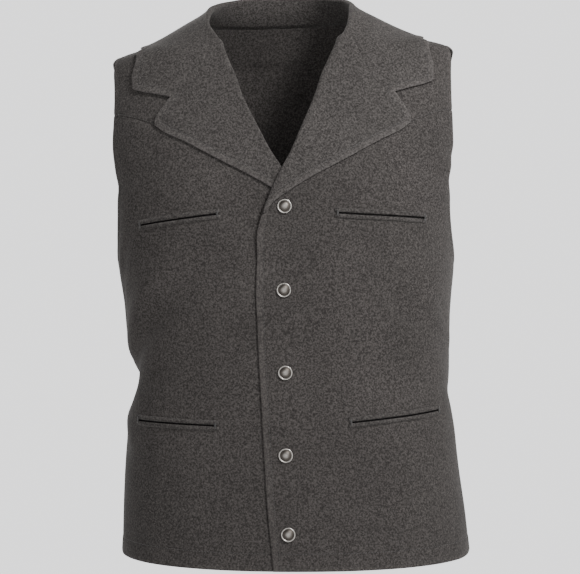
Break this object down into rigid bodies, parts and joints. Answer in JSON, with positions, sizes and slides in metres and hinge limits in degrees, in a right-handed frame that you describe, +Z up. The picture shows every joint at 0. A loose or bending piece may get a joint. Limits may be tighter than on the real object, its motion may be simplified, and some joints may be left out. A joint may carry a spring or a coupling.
{
  "type": "western vest in its worn shape",
  "caption": "Sleeveless button-front wool vest with notched lapels, western yokes, snap caps and welt pockets, held open in its worn shape.",
  "frame": {"origin": "middle of the neck opening, level with the shoulder line, where the garment hangs from its wearer", "axes": "+Z up, the front faces -Y, and the wearer's left is +X"},
  "size_m": [0.4208, 0.255, 0.6707],
  "materials": {
    "charcoal_wool": "heathered charcoal wool flannel, matt, faint nap",
    "charcoal_wool_facing": "the same wool cut for lapels, collar and pocket lips",
    "antique_silver": "dark antique silver, worn bright on the rim"
  },
  "bodies": {
    "root": {"front_left": "charcoal_wool", "front_right": "charcoal_wool", "yoke_left": "charcoal_wool", "yoke_right": "charcoal_wool", "back": "charcoal_wool", "lapel_left": "charcoal_wool_facing", "lapel_right": "charcoal_wool_facing", "collar": "charcoal_wool_facing", "welt_chest_left_upper": "charcoal_wool_facing", "welt_chest_left_lower": "charcoal_wool_facing", "welt_chest_right_upper": "charcoal_wool_facing", "welt_chest_right_lower": "charcoal_wool_facing", "welt_lower_left_upper": "charcoal_wool_facing", "welt_lower_left_lower": "charcoal_wool_facing", "welt_lower_right_upper": "charcoal_wool_facing", "welt_lower_right_lower": "charcoal_wool_facing", "snap_1": "antique_silver", "snap_2": "antique_silver", "snap_3": "antique_silver", "snap_4": "antique_silver", "snap_5": "antique_silver", "snap_back_1": "antique_silver", "snap_back_2": "antique_silver", "snap_back_3": "antique_silver", "snap_back_4": "antique_silver", "snap_back_5": "antique_silver"}
  },
  "joints": []
}
